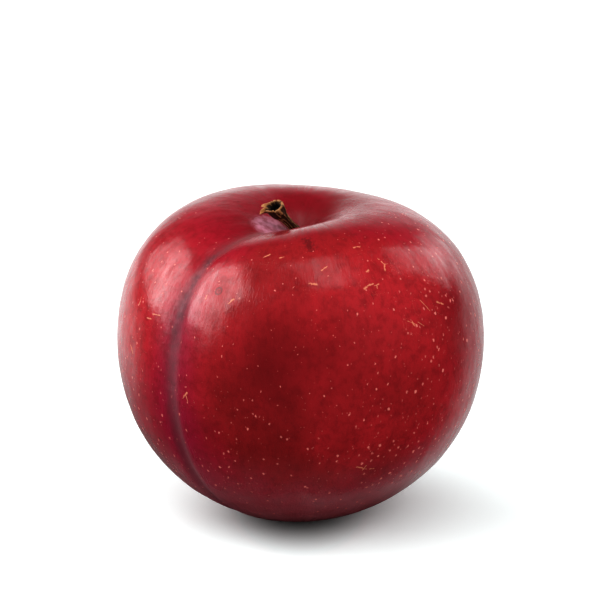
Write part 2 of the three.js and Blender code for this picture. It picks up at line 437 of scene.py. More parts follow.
def skin_radius(x, y, z, shape):
    """Distance from the body's centre to the skin, in a direction given by its unit vector."""
    flattened = (3 * z**2 - 1) / 2
    heart = (5 * z**3 - 3 * z) / 2
    squared = (35 * z**4 - 30 * z**2 + 3) / 8
    drawn_in = (63 * z**5 - 70 * z**3 + 15 * z) / 8
    profile = (1 - FLATTENING * flattened - HEART_SHAPE * heart
               - SQUARE_SHOULDERS * squared - NARROW_BASE * drawn_in)
    cheeks = (CHEEK_SWELL + CHEEK_SWELL_UP * z) * (x * x - y * y) + 2 * CHEEK_TURN * x * y

    along = np.where(y < 0, shape.cavity_seam_radius, shape.cavity_radius)
    reach = shape.body_radius * np.hypot(x / shape.cavity_radius, y / along)
    cavity = np.where(z > 0, shape.cavity_depth * np.exp(-(reach**CAVITY_STEEPNESS)), 0)

    aside = aside_of_seam(x, z, shape)
    softer = 1 + SEAM_SOFTENING * smooth(z, -0.5, 0.1)
    groove = shape.seam_depth * hump(aside, softer * shape.seam_half_width)
    low_side = 1 / (1 + np.exp(np.clip(aside / (softer * LOW_CHEEK_EDGE), -60, 60)))
    low_cheek = LOW_CHEEK_STEP * low_side * np.exp(-np.abs(aside) / LOW_CHEEK_REACH)
    on_shoulder = smooth(-y, 0.1, 0.6) * smooth(z, -0.2, 0.8)
    dip = on_shoulder * DIP_DEPTH * hump(aside, DIP_HALF_WIDTH)
    seam = seam_share(y, z) * (groove + low_cheek) + dip
    return shape.body_radius * (profile + cheeks) - cavity - seam


def skin_point(polar, azimuth, shape):
    """A point of the skin from its polar angle and azimuth, with the body's centre at the origin."""
    level = math.sin(polar)
    direction = np.array([level * math.cos(azimuth), level * math.sin(azimuth), math.cos(polar)])
    return Vector(direction * skin_radius(*direction, shape))


def body_centre(shape):
    """The body's centre. It is as high as lets the flat spot grow to its radius."""
    spot_edge = math.pi - math.asin(shape.spot_radius / shape.body_radius)
    return Vector((0, 0, -skin_point(spot_edge, 0, shape).z))


def cavity_floor(shape):
    """The point where the stalk comes out of the flesh."""
    return skin_point(0, 0, shape) + body_centre(shape)


# ---- Mesh tools ----


def deselect_everything():
    if bpy.context.mode != "OBJECT":
        bpy.ops.object.mode_set(mode="OBJECT")
    bpy.ops.object.select_all(action="DESELECT")


def name_piece(name):
    """Names the object that was just added, and its mesh."""
    piece = bpy.context.object
    piece.name = name
    piece.data.name = name
    return piece


def settle(piece):
    """Puts the piece's place into its mesh, so that its object stands at the origin."""
    deselect_everything()
    piece.select_set(True)
    bpy.context.view_layer.objects.active = piece
    bpy.ops.object.transform_apply(location=True, rotation=True, scale=True)


def subdivide(piece, kind, levels):
    finer = piece.modifiers.new("finer", "SUBSURF")
    finer.subdivision_type = kind
    finer.levels = finer.render_levels = levels
    bpy.context.view_layer.objects.active = piece
    bpy.ops.object.modifier_apply(modifier=finer.name)


def points_of(piece):
    points = np.empty(len(piece.data.vertices) * 3)
    piece.data.vertices.foreach_get("co", points)
    return points.reshape(-1, 3)


def move_points(piece, points):
    piece.data.vertices.foreach_set("co", np.asarray(points, dtype=np.float32).ravel())
    piece.data.update()


def paint(piece, name, values):
    """Stores a number or a vector for each vertex, which the materials read."""
    kind, field = ("FLOAT", "value") if values.ndim == 1 else ("FLOAT_VECTOR", "vector")
    attribute = piece.data.attributes.new(name, kind, "POINT")
    attribute.data.foreach_set(field, np.asarray(values, dtype=np.float32).ravel())


def select_faces(piece, wanted):
    """Selects the faces of the piece in edit mode whose normal passes a test."""
    mesh = bmesh.from_edit_mesh(piece.data)
    for face in mesh.faces:
        face.select_set(wanted(face.normal))
    bmesh.update_edit_mesh(piece.data)


# ---- Shader tools ----


class Graph:
    """Adds nodes to a shader tree. An input is a plain value or another node's output."""

    def __init__(self, tree):
        self.tree = tree

    def put(self, socket, value):
        if isinstance(value, bpy.types.NodeSocket):
            self.tree.links.new(value, socket)
        elif socket.type == "RGBA":
            socket.default_value = (*value, 1.0)
        else:
            socket.default_value = value

    def fill(self, node, inputs):
        for name, value in inputs.items():
            self.put(node.inputs[name], value)

    def add(self, kind, inputs=None, **settings):
        node = self.tree.nodes.new(kind)
        for name, value in settings.items():
            setattr(node, name, value)
        self.fill(node, inputs or {})
        return node

    def math(self, operation, *values):
        node = self.add("ShaderNodeMath", operation=operation)
        for socket, value in zip(node.inputs, values):
            self.put(socket, value)
        return node.outputs[0]

    def chain(self, operation, values):
        return functools.reduce(lambda result, value: self.math(operation, result, value), values)

    def total(self, *values):
        return self.chain("ADD", values)

    def product(self, *values):
        return self.chain("MULTIPLY", values)

    def largest(self, *values):
        return self.chain("MAXIMUM", values)

    def vector(self, operation, *values):
        node = self.add("ShaderNodeVectorMath", operation=operation)
        for socket, value in zip(node.inputs, values):
            self.put(socket, value)
        gives_number = operation in ("DOT_PRODUCT", "LENGTH", "DISTANCE")
        return node.outputs["Value" if gives_number else "Vector"]

    def scaled(self, vector, factor):
        inputs = {"Vector": vector, "Scale": factor}
        return self.add("ShaderNodeVectorMath", inputs, operation="SCALE").outputs["Vector"]

    def split(self, vector):
        return self.add("ShaderNodeSeparateXYZ", {"Vector": vector}).outputs

    def rise(self, value, low, high, start=0.0, end=1.0):
        """A smooth step from start, at low and before it, to end, at high and beyond it."""
        node = self.add("ShaderNodeMapRange", {
            "Value": value, "From Min": low, "From Max": high, "To Min": start, "To Max": end},
            interpolation_type="SMOOTHSTEP")
        return node.outputs["Result"]

    def mix(self, share, below, above):
        """A colour: below where the share is 0, above where it is 1."""
        node = self.add("ShaderNodeMix", data_type="RGBA")
        for index, value in ((0, share), (6, below), (7, above)):
            self.put(node.inputs[index], value)
        return node.outputs[2]

    def noise(self, vector, scale, detail, roughness=0.5):
        node = self.add("ShaderNodeTexNoise", {
            "Vector": vector, "Scale": scale, "Detail": detail, "Roughness": roughness})
        return node.outputs["Fac"]

    def attribute(self, name):
        return self.add("ShaderNodeAttribute", attribute_name=name).outputs["Fac"]

    def group(self, tree, inputs):
        return self.add("ShaderNodeGroup", inputs, node_tree=tree).outputs[0]


def new_group(name, inputs, output):
    """A shader node group with named value or vector inputs and one value output."""
    tree = bpy.data.node_groups.new(name, "ShaderNodeTree")
    for socket_name, kind in inputs.items():
        tree.interface.new_socket(socket_name, in_out="INPUT", socket_type=f"NodeSocket{kind}")
    tree.interface.new_socket(output, in_out="OUTPUT", socket_type="NodeSocketFloat")
    graph = Graph(tree)
    entry = graph.add("NodeGroupInput")
    leaving = graph.add("NodeGroupOutput")
    return tree, graph, entry.outputs, leaving.inputs[0]


def dots_group():
    """Round soft dots, one in each cell, and larger the nearer the cell's middle is to the skin."""
    if "Dots" in bpy.data.node_groups:
        return bpy.data.node_groups["Dots"]
    inputs = {"Place": "Vector", "Cells": "Float", "Radius": "Float", "Softness": "Float"}
    tree, graph, given, result = new_group("Dots", inputs, "Mask")
    cells = graph.add("ShaderNodeTexVoronoi", {
        "Vector": given["Place"], "Scale": given["Cells"], "Randomness": 1.0})
    core = graph.product(given["Radius"], graph.math("SUBTRACT", 1.0, given["Softness"]))
    graph.put(result, graph.rise(cells.outputs["Distance"], given["Radius"], core))
    return tree


def stroke_group():
    """A short soft-edged mark. Place holds the way along it, the way across it and half its length."""
    if "Stroke" in bpy.data.node_groups:
        return bpy.data.node_groups["Stroke"]
    inputs = {"Place": "Vector", "Wobble": "Vector", "Size": "Float"}
    tree, graph, given, result = new_group("Stroke", inputs, "Mask")
    along, across, half_length = graph.split(graph.vector("ADD", given["Place"], given["Wobble"]))
    beyond = graph.largest(graph.math("SUBTRACT", graph.math("ABSOLUTE", along), half_length), 0.0)
    squares = graph.total(graph.product(beyond, beyond), graph.product(across, across))
    edge = graph.product(given["Size"], STROKE_EDGE)
    graph.put(result, graph.rise(graph.math("SQRT", squares), edge, 0.0))
    return tree


def new_material(name):
    """A material with its graph, its shader and the place on the object in metres."""
    material = bpy.data.materials.new(name)
    material.use_nodes = True
    graph = Graph(material.node_tree)
    here = graph.add("ShaderNodeTexCoord").outputs["Object"]
    return material, graph, material.node_tree.nodes["Principled BSDF"], here


def in_millimetres(graph, here, centre=Vector()):
    """The place on the object in millimetres from a centre."""
    return graph.add("ShaderNodeMapping", {
        "Vector": here, "Location": -centre / MM, "Scale": (1 / MM,) * 3}).outputs["Vector"]


# ---- Materials ----


def skin_colour(graph, look, place, streaks):
    """The skin's colour without its marks, and how matt wax and the seam make it.

    Red blotches lie over a crimson skin, with a dull band along the seam and bloom low down and in
    the stalk cavity. Painted light and painted shade brighten and darken the skin as the camera sees
    it and darken the seam's band on the shoulder, and a painted reflection lies over the cavity's bloom.
    """
    height = graph.split(place)["Z"]
    wide = graph.noise(place, WIDE_BLOTCHES, detail=2)
    shifted = graph.vector("ADD", place, MIDDLING_SHIFT)
    middling = graph.noise(shifted, MIDDLING_BLOTCHES, detail=3, roughness=0.55)
    small = graph.noise(place, SMALL_BLOTCHES, detail=4, roughness=0.7)

    # Skin facing the camera is redder and brighter, partly ripeness and partly painted light; the sides
    # turned away are darker, partly painted shade.
    uneven = graph.product(graph.math("SUBTRACT", middling, 0.5), RIPE_EDGE_UNEVENNESS)
    ripe_and_painted_light = graph.total(graph.attribute("ripe_and_painted_light"), uneven)
    ripe_red = graph.mix(graph.rise(wide, low=0.36, high=0.72), look.warm, look.bright)
    other_red = graph.mix(graph.rise(wide, low=0.3, high=0.6, start=0.3), look.deep, look.crimson)
    other_red = graph.mix(graph.attribute("flush_and_painted_light"), other_red, look.crimson)
    colour = graph.mix(graph.rise(ripe_and_painted_light, low=0.2, high=0.8), other_red, ripe_red)
    # Over the reds lie the brighter patches, partly painted light, and the darker patches, partly
    # painted shade, with painted shade round the stalk cavity.
    for share, layer in (
            (graph.attribute("bright_patches_and_painted_light"), look.bright),
            (graph.attribute("shade"), look.deep),
            (graph.attribute("beside_seam"), look.beside_seam),
            (graph.rise(small, low=0.4, high=0.7, end=0.45), look.deep),
            (graph.rise(streaks, low=0.5, high=0.72, end=0.12), look.deep),
            (graph.attribute("groove"), look.purple)):
        colour = graph.mix(share, colour, layer)

    # Painted shade darkens the seam's band where it climbs the shoulder, below where it runs into the
    # cavity.
    in_shade = graph.product(
        graph.rise(height, *SEAM_SHADE_HEIGHTS), graph.rise(height, *reversed(SEAM_TOP_HEIGHTS)))
    band = graph.mix(in_shade, look.seam, look.seam_shade)
    band = graph.mix(graph.rise(height, *SEAM_TOP_HEIGHTS), band, look.seam_top)
    seam = graph.product(graph.attribute("seam"), graph.rise(small, low=0.3, high=0.7, start=0.7))
    colour = graph.mix(seam, colour, band)

    low_clouds = graph.noise(place, LOW_BLOOM_CLOUDS, detail=3)
    bloom = graph.product(graph.rise(height, *LOW_BLOOM_HEIGHTS, end=LOW_BLOOM_STRENGTH),
                          graph.rise(low_clouds, low=0.15, high=0.85, start=0.5))
    colour = graph.mix(bloom, colour, look.bloom)
    # A pale lilac patch in the stalk cavity: bloom with a painted reflection over it.
    clouds = graph.noise(place, CAVITY_BLOOM_AND_REFLECTION_CLOUDS, detail=3)
    patch = graph.product(graph.attribute("cavity_bloom_and_reflection"),
                          graph.rise(clouds, low=0.3, high=0.65, start=0.35))
    colour = graph.mix(patch, colour, look.cavity_bloom_and_reflection)
    matt = graph.largest(
        graph.product(bloom, LOW_BLOOM_MATTNESS), seam, patch,
        graph.product(graph.attribute("beside_seam"), BESIDE_SEAM_MATTNESS))
    return colour, matt


def streak_place(graph, place, radius, shrink):
    """A place that changes round the fruit and little from stalk to tip, for streaks that run so."""
    level = graph.vector("NORMALIZE", graph.vector("MULTIPLY", place, (1, 1, 0)))
    upward = graph.vector("MULTIPLY", place, (0, 0, shrink))
    return graph.vector("ADD", graph.scaled(level, radius), upward)


def ragged_shift(graph, place):
    """A small shift from place to place that makes the edges of marks ragged."""
    wobble = graph.add("ShaderNodeTexNoise", {"Vector": place, "Scale": RAGGED_EDGES, "Detail": 2.0})
    middle = (0.5, 0.5, 0.5)
    return graph.scaled(graph.vector("SUBTRACT", wobble.outputs["Color"], middle), RAGGEDNESS)


def pale_dots(graph, place):
    """The share of the pale dots. They are larger where the skin is more speckled."""
    drawn_out = graph.vector("MULTIPLY", place, DOT_STRETCH)
    speckle = graph.attribute("speckle")
    shares = []
    for cells, radius, softness, strength, shift in DOTS:
        dot = graph.group(dots_group(), {
            "Place": graph.vector("ADD", drawn_out, shift), "Cells": cells,
            "Radius": graph.product(speckle, radius), "Softness": softness})
        shares.append(graph.product(dot, strength))
    return graph.largest(*shares)


def strokes(graph, names, wobble, size):
    """The share of the strongest of the marks whose places are stored under these names."""
    shares = []
    for name in names:
        place = graph.add("ShaderNodeAttribute", attribute_name=name).outputs["Vector"]
        shares.append(graph.group(stroke_group(), {"Place": place, "Wobble": wobble, "Size": size}))
    return graph.largest(*shares)


def skin_material(look, shape, scars, nicks, ring):
    """Waxy red skin. Scars and nicks name stored places, and the ring is a middle and a radius."""
    material, graph, shader, here = new_material("plum_skin")
    place = in_millimetres(graph, here, body_centre(shape))
    wide_place, fine_place = (
        streak_place(graph, place, shape.body_radius / MM, shrink)
        for shrink in (STREAK_SHRINK, FINE_STREAK_SHRINK))
    streaks = graph.noise(wide_place, STREAKS, detail=2, roughness=0.6)
    fine_streaks = graph.noise(fine_place, FINE_STREAKS, detail=1)
    patches = graph.noise(place, GLOSS_PATCHES, detail=3, roughness=0.6)
    colour, matt = skin_colour(graph, look, place, streaks)

    shift = ragged_shift(graph, place)
    dots = pale_dots(graph, graph.vector("ADD", place, shift))
    wobble = graph.scaled(shift, STROKE_RAGGEDNESS)
    size_pattern = graph.noise(place, STROKE_SIZES, detail=1)
    size = graph.rise(size_pattern, low=0.3, high=0.65, start=0.45, end=1.5)
    middle, radius = ring
    from_middle = graph.vector("DISTANCE", place, middle)
    from_ring = graph.math("ABSOLUTE", graph.math("SUBTRACT", from_middle, radius))
    dark = graph.largest(
        graph.product(strokes(graph, nicks, wobble, size), NICK_STRENGTH),
        graph.rise(from_ring, BLEMISH_RING_HALF_WIDTH, 0.0, end=RING_STRENGTH))
    dry = strokes(graph, scars, wobble, size)
    for share, mark in (
            (dark, look.nicks), (dots, look.dots), (graph.product(dry, SCAR_STRENGTH), look.scars)):
        colour = graph.mix(share, colour, mark)

    patterns = {"streaks": streaks, "fine_streaks": fine_streaks, "patches": patches,
                "pale": graph.largest(dots, dry), "matt": matt}

    def parts(shares):
        return [graph.product(patterns[name], share) for name, share in shares.items()]

    gloss = graph.total(*parts(GLOSS_SHARES))
    hatch = graph.product(graph.total(streaks, fine_streaks), 0.5)
    coat = graph.product(
        graph.rise(gloss, low=0.35, high=0.75, start=0.05, end=0.45),
        graph.math("SUBTRACT", 1.0, matt),
        graph.rise(hatch, low=0.38, high=0.62, start=0.6, end=1.4))
    bump = graph.add("ShaderNodeBump", {
        "Height": graph.total(*parts(RELIEF_SHARES)), "Strength": 1.0, "Distance": SKIN_RELIEF})
    graph.fill(shader, {
        "Base Color": colour, "Roughness": graph.total(look.roughness, *parts(ROUGHNESS_SHARES)),
        "Normal": bump.outputs[0], "Specular IOR Level": 0.25,
        "Coat Weight": coat, "Coat Roughness": 0.12,
        "Sheen Weight": 0.03, "Sheen Roughness": 0.4, "Sheen Tint": (0.9, 0.86, 0.86)})
    return material


def bark_material(look):
    """Dry bark, tan on its ridges, with a torn rim and painted shade in the hollow."""
    material, graph, shader, here = new_material("plum_bark")
    grain = graph.noise(in_millimetres(graph, here), BARK_GRAIN, detail=4, roughness=0.6)
    uneven = graph.product(graph.math("SUBTRACT", grain, 0.5), 0.9)
    tan_share = graph.rise(graph.total(graph.attribute("ridge"), uneven), low=0.62, high=0.98)
    colour = graph.mix(tan_share, look.dark, look.tan)
    # The torn rim's colour, and painted shade inside the hollow.
    for name in ("torn", "hollow"):
        colour = graph.mix(graph.attribute(name), colour, getattr(look, name))
    bump = graph.add("ShaderNodeBump", {"Height": grain, "Strength": 1.0, "Distance": BARK_RELIEF})
    graph.fill(shader, {"Base Color": colour, "Roughness": 0.75, "Normal": bump.outputs[0],
                        "Specular IOR Level": 0.3})
    return material


def floor_material(colour, behind, right):
    """Pale matt floor with a painted contact shadow. It throws little light back up, and the skin
    mirrors it behind the fruit only.
    """
    material, graph, shader, here = new_material("stage_floor")
    # A painted contact shadow darkens the floor's colour round the rest spot.
    sideways = graph.vector("DOT_PRODUCT", here, right)
    stretched = graph.vector("ADD", here, graph.scaled(right, sideways))
    painted_contact_shadow = graph.rise(graph.vector("LENGTH", stretched), SHADOW_REACH, SHADOW_CORE,
                         start=1.0, end=SHADOW_CORE_SHARE)
    ray = graph.add("ShaderNodeLightPath").outputs
    shade = graph.scaled(tuple(colour), painted_contact_shadow)
    shade = graph.mix(ray["Is Diffuse Ray"], shade, (FLOOR_GREY_FOR_LIGHT,) * 3)
    shade = graph.mix(ray["Is Glossy Ray"], shade, (0, 0, 0))

    away = graph.vector("LENGTH", here)
    outward = graph.vector("NORMALIZE", graph.vector("ADD", here, behind * MIRROR_ORIGIN))
    at_left = graph.rise(away, low=35 * MM, high=140 * MM, start=0.15, end=0.85)
    at_right = graph.rise(away, low=35 * MM, high=200 * MM, start=0.48, end=0.62)
    mirrored = graph.product(
        graph.rise(graph.vector("DOT_PRODUCT", outward, right), -0.5, 0.5, at_left, at_right),
        graph.rise(graph.vector("DOT_PRODUCT", outward, behind), low=0.2, high=0.62),
        graph.rise(away, low=14 * MM, high=30 * MM))
    graph.fill(shader, {
        "Base Color": shade, "Roughness": 1.0, "Specular IOR Level": 0.0,
        "Emission Color": (1, 1, 1),
        "Emission Strength": graph.product(ray["Is Glossy Ray"], mirrored)})
    return material


# ---- Pieces ----


class PLUM_OT_add_fruit(bpy.types.Operator):
    """Adds the fruit with its cheeks, seam, stalk cavity and flat spot"""

    bl_idname = "plum.add_fruit"
    bl_label = "Add Fruit"

    def execute(self, context):
        shape = context.scene.plum_fruit_shape
        deselect_everything()
        bpy.ops.mesh.primitive_uv_sphere_add(
            segments=FRUIT_COLUMNS, ring_count=FRUIT_RINGS, radius=shape.body_radius)
        fruit = name_piece("plum_fruit")
        subdivide(fruit, "SIMPLE", FRUIT_SUBDIVISIONS)
        ball = points_of(fruit)
        x, y, z = self.crowded(ball / np.linalg.norm(ball, axis=1, keepdims=True))
        radius = skin_radius(x, y, z, shape) + self.lumps(x, y, z, shape)
        points = np.stack((x, y, z), axis=1) * radius[:, None] + np.array(body_centre(shape))
        points[:, 2] = np.maximum(points[:, 2], 0)
        move_points(fruit, points)
        bpy.ops.object.shade_smooth()
        self.paint_seam(fruit, x, y, z, shape)
        self.paint_view(fruit, x, y, z, context.scene.plum_stage)
        self.paint_cavity_bloom_and_reflection(context, fruit)
        scars = self.lay_marks(context, fruit, "scars", SCARS)
        nicks = self.lay_marks(context, fruit, "nicks", NICKS)
        ring = (skin_at(context, fruit, BLEMISH_RING), BLEMISH_RING_RADIUS)
        look = context.scene.plum_skin_look
        fruit.data.materials.append(skin_material(look, shape, scars, nicks, ring))
        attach(fruit, "root")
        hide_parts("fruit")
        return {"FINISHED"}

    @staticmethod
    def crowded(ball):
        """The sphere's directions, with its columns drawn to the seam and its rings to the ends."""
        turn = np.arctan2(ball[:, 1], ball[:, 0])
        ring = np.arccos(np.clip(ball[:, 2], -1, 1)) / math.pi
        azimuth = -math.pi / 2 + turn - COLUMN_CROWDING * np.sin(turn)
        polar = math.pi * (ring - RING_CROWDING * np.sin(2 * math.pi * ring))
        return np.sin(polar) * np.cos(azimuth), np.sin(polar) * np.sin(azimuth), np.cos(polar)

    @staticmethod
    def lumps(x, y, z, shape):
        """Soft wide unevenness of the skin, none at the flat spot."""
        rises = np.array([
            noise.fractal(Vector(direction) * LUMPS_ACROSS + LUMPS_START, *LUMPS)
            for direction in zip(x, y, z)])
        return shape.lump_height * rises * smooth(z, -0.97, -0.8)

    @staticmethod
    def paint_seam(fruit, x, y, z, shape):
        """Paints the bottom of the groove, the dull band along it and the crimson skin beside it."""
        aside = aside_of_seam(x, z, shape) / MM
        lower = smooth(-z, -0.1, 0.6)
        shoulder = smooth(z, 0.3, 0.8)
        fold = smooth(z, 0.66, 0.85)
        middle, half_width = (
            whole + at_low * lower + at_shoulder * shoulder + at_fold * fold
            for whole, at_low, at_shoulder, at_fold in (BAND_MIDDLE, BAND_HALF_WIDTH))
        # The groove's purple line is partly painted shade in the crease.
        groove = lower * hump(aside - GROOVE_PLACE, GROOVE_HALF_WIDTH)
        band = np.exp(-np.abs((aside - middle) / half_width) ** BAND_EDGE)
        beside = (1 - shoulder) * hump(aside - BESIDE_SEAM_PLACE, BESIDE_SEAM_HALF_WIDTH)
        for name, share, strength in (
                ("groove", groove, GROOVE_STRENGTH),
                ("seam", band, BAND_STRENGTH - BAND_LOSS_ON_SHOULDER * shoulder),
                ("beside_seam", beside, BESIDE_SEAM_STRENGTH)):
            paint(fruit, name, strength * share * seam_share(y, z))

    @staticmethod
    def paint_view(fruit, x, y, z, stage):
        """Paints the looks laid out as the camera sees the fruit, with painted light and shade."""
        facing, right, up = (x * axis.x + y * axis.y + z * axis.z for axis in camera_axes(stage))
        front = smooth(facing, -0.1, 0.3)
        cavity = smooth(z, 0.78, 0.95)
        bright_patches_and_painted_light, shade = (
            sum(share * hump(right - at_right, reach) * hump(up - at_up, rise)
                for share, at_right, at_up, reach, rise in areas)
            for areas in (BRIGHT_PATCHES_AND_PAINTED_LIGHT, DARK_PATCHES_AND_PAINTED_SHADE))
        speckle = (0.55 + 0.5 * smooth(right, 0.1, 0.7) + 0.35 * smooth(-up, 0.1, 0.6)
                   + 0.3 * smooth(-right, 0.6, 0.9) - 0.5 * smooth(z, 0.75, 0.95))
        # Redder, brighter skin facing the camera: partly ripeness, partly painted light and shade.
        paint(fruit, "ripe_and_painted_light", smooth(facing + 0.12 * right - 0.1 * up, 0.45, 0.95))
        paint(fruit, "flush_and_painted_light", smooth(facing, 0.0, 0.6) * (1 - 0.8 * smooth(z, 0.72, 0.95)))
        # Brighter patches are partly painted light; darker patches are partly painted shade, with
        # painted shade round the stalk cavity.
        paint(fruit, "bright_patches_and_painted_light", np.clip(bright_patches_and_painted_light * front, 0, 1))
        paint(fruit, "shade", np.clip(shade * front + CAVITY_SHADE * cavity, 0, 1))
        paint(fruit, "speckle", np.clip(speckle, 0.1, 1.1))

    @staticmethod
    def paint_cavity_bloom_and_reflection(context, fruit):
        # Paints the patch of bloom and painted reflection round the skin under a pixel in the cavity.
        patch = skin_at(context, fruit, CAVITY_BLOOM_AND_REFLECTION) * MM
        centre = body_centre(context.scene.plum_fruit_shape)
        apart = np.linalg.norm(points_of(fruit) - np.array(centre + patch), axis=1)
        inside = smooth(apart, CAVITY_BLOOM_AND_REFLECTION_REACH, 0.5 * CAVITY_BLOOM_AND_REFLECTION_REACH)
        paint(fruit, "cavity_bloom_and_reflection", CAVITY_BLOOM_AND_REFLECTION_STRENGTH * inside)

    @staticmethod
    def lay_marks(context, fruit, name, marks):
        """Stores each vertex's place beside the mark near it. Close marks get separate layers."""
        points = (points_of(fruit) - np.array(body_centre(context.scene.plum_fruit_shape))) / MM
        layers = []
        for start, end, half_width in marks.values():
            start, end = (np.array(skin_at(context, fruit, pixel)) for pixel in (start, end))
            middle, half = (start + end) / 2, (end - start) / 2
            half_length = np.linalg.norm(half)
            reach = half_length + MARK_MARGIN + half_width
            near = np.linalg.norm(points - middle, axis=1) < reach
            free = [layer for layer in layers if np.all(layer[near, 0] == FAR_FROM_MARKS)]
            if not free:
                free = [np.full((len(points), 3), FAR_FROM_MARKS)]
                layers += free
            along = half / half_length
            across = np.cross(middle, along)
            across /= np.linalg.norm(across)
            way = points[near] - middle
            place = np.stack((way @ along, way @ across, np.full(near.sum(), half_length)), axis=1)
            free[0][near] = place / half_width
        names = [f"{name}_{number}" for number in range(1, len(layers) + 1)]
        for layer_name, layer in zip(names, layers):
            paint(fruit, layer_name, layer)
        return names


class PLUM_OT_add_stalk(bpy.types.Operator):
    """Adds the bowed woody stalk with its torn hollow end"""

    bl_idname = "plum.add_stalk"
    bl_label = "Add Stalk"

    def execute(self, context):
        shape = context.scene.plum_stalk_shape
        stalk, length = self.straight_stalk(shape)
        self.roughen(stalk, length, shape)
        self.bow(stalk, length, cavity_floor(context.scene.plum_fruit_shape))
        bpy.ops.object.shade_smooth()
        stalk.data.materials.append(bark_material(context.scene.plum_bark_look))
        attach(stalk, "root")
        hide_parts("stalk")
        return {"FINISHED"}

    @staticmethod
    def line(share):
        """Points of the stalk's bowed line and the ways it points there, from shares of its curve."""
        foot, bend, tip = (np.array(point) for point in (
            STALK_BEND.normalized() * -STALK_FOOT, STALK_BEND, STALK_END))
        place = (1 - share) ** 2 * foot + 2 * share * (1 - share) * bend + share**2 * tip
        ahead = 2 * (1 - share) * (bend - foot) + 2 * share * (tip - bend)
        return place, ahead / np.linalg.norm(ahead, axis=1, keepdims=True)

    def run(self):
        """Shares of the curve in even steps, and the way run along the line up to each."""
        shares = np.linspace(0, 1, STALK_STEPS + 1)[:, None]
        steps = np.linalg.norm(np.diff(self.line(shares)[0], axis=0), axis=1)
        return shares, np.concatenate([[0], np.cumsum(steps)])

    def straight_stalk(self, shape):
        """The stalk as a straight upright stem, extruded ring by ring and hollowed at its top."""
        length = self.run()[1][-1]
        radii = {"thick": shape.thick_radius, "thin": shape.thin_radius, "cup": shape.cup_radius}
        rings = [(share * length, part * radii[name]) for share, part, name in STALK_RINGS]
        deselect_everything()
        first, radius = rings[0]
        bpy.ops.mesh.primitive_cylinder_add(
            vertices=STALK_SIDES, radius=radius, depth=first, location=(0, 0, first / 2))
        stalk = name_piece("plum_stalk")
        settle(stalk)
        bpy.ops.object.mode_set(mode="EDIT")
        bpy.ops.mesh.select_mode(type="FACE")
        select_faces(stalk, lambda normal: normal.z > 0.9)
        for (low, narrow), (high, wide) in zip(rings, rings[1:]):
            self.extrude(high - low, wide / narrow, high)
        bpy.ops.mesh.inset(thickness=shape.cup_wall)
        for (shallow, wide), (deep, narrow) in zip(CUP_HOLLOW, CUP_HOLLOW[1:]):
            rise = (shallow - deep) * shape.cup_depth
            self.extrude(rise, narrow / wide, length - deep * shape.cup_depth)
        bpy.ops.mesh.inset(thickness=CUP_FLOOR_INSET * (shape.cup_radius - shape.cup_wall))
        bpy.ops.object.mode_set(mode="OBJECT")
        subdivide(stalk, "CATMULL_CLARK", STALK_SUBDIVISIONS)
        return stalk, length

    @staticmethod
    def extrude(rise, growth, height):
        bpy.ops.mesh.extrude_region_move(TRANSFORM_OT_translate={"value": (0, 0, rise)})
        bpy.ops.transform.resize(value=(growth, growth, 1), center_override=(0, 0, height))

    @staticmethod
    def roughen(stalk, length, shape):
        """Raises ridges along the bark, tears the rim aslant and draws out a flake with two prongs."""
        points = points_of(stalk)
        out = np.hypot(points[:, 0], points[:, 1])
        around = np.arctan2(points[:, 1], points[:, 0])
        normals = np.array([vertex.normal for vertex in stalk.data.vertices])
        inward = (points[:, 0] * normals[:, 0] + points[:, 1] * normals[:, 1]) < 0
        share = points[:, 2] / length
        ridge = np.empty(len(points))
        tear = np.empty(len(points))
        for i, (turn, up) in enumerate(zip(around, points[:, 2] / MM)):
            place = Vector((math.cos(turn), math.sin(turn), up))
            ridge[i] = noise.ridged_multi_fractal(place * RIDGE_FINENESS, *RIDGES)
            tear[i] = noise.fractal(place * TEAR_FINENESS + TEAR_SHIFT, *TEARS)
        ridge = (ridge - ridge.mean()) / (3 * ridge.std())
        rim = smooth(share, 0.84, 1.0)
        flake = smooth(share, 0.9, 1.0) * np.max([
            reach * np.clip(np.cos(around - math.radians(turn)), 0, 1) ** PRONG_SHARPNESS
            for turn, reach in PRONGS], axis=0)
        height = BARK_RIDGE * ridge * np.where(inward, HOLLOW_RIDGE, 1)
        grow = 1 + height / np.maximum(out, STALK_CORE)
        grow *= 1 + shape.flake_reach / shape.cup_radius * flake
        aslant = CUP_TILT * points[:, 1] * rim
        points[:, :2] *= grow[:, None]
        points[:, 2] += rim * (RIM_TEAR * tear - FLAKE_DROOP * flake) - aslant
        move_points(stalk, points)
        torn = smooth(share, 0.955, 1.0) * np.clip(0.55 + 0.9 * tear, 0, 1) + 0.8 * flake
        paint(stalk, "ridge", np.clip(0.5 + ridge, 0, 1))
        paint(stalk, "torn", np.clip(torn, 0, 1) * np.where(inward & (share < 0.97), 0, 1))
        # Painted shade: near-black inside the hollow end.
        paint(stalk, "hollow", inward * smooth(-share, -0.985, -0.9) * (share > 0.8))

    def bow(self, stalk, length, floor):
        """Bends the straight stem: its X stays near level, and its Z follows the bowed line."""
        points = points_of(stalk)
        shares, run = self.run()
        height = np.clip(points[:, 2], 0, length)
        middle, ahead = self.line(np.interp(height / length * run[-1], run, shares[:, 0])[:, None])
        upward = np.cross(ahead, (1.0, 0.0, 0.0))
        upward /= np.linalg.norm(upward, axis=1, keepdims=True)
        level = np.cross(upward, ahead)
        beyond = points[:, 2] - height
        bent = (middle + points[:, :1] * level + points[:, 1:2] * upward
                + beyond[:, None] * ahead)
        move_points(stalk, bent + np.array(floor))


# ---- Camera and stage ----


def direction_at(turn, lift):
    """Unit vector at an angle from -Y towards +X and at an angle above the level."""
    return Vector((math.sin(turn) * math.cos(lift), -math.cos(turn) * math.cos(lift), math.sin(lift)))


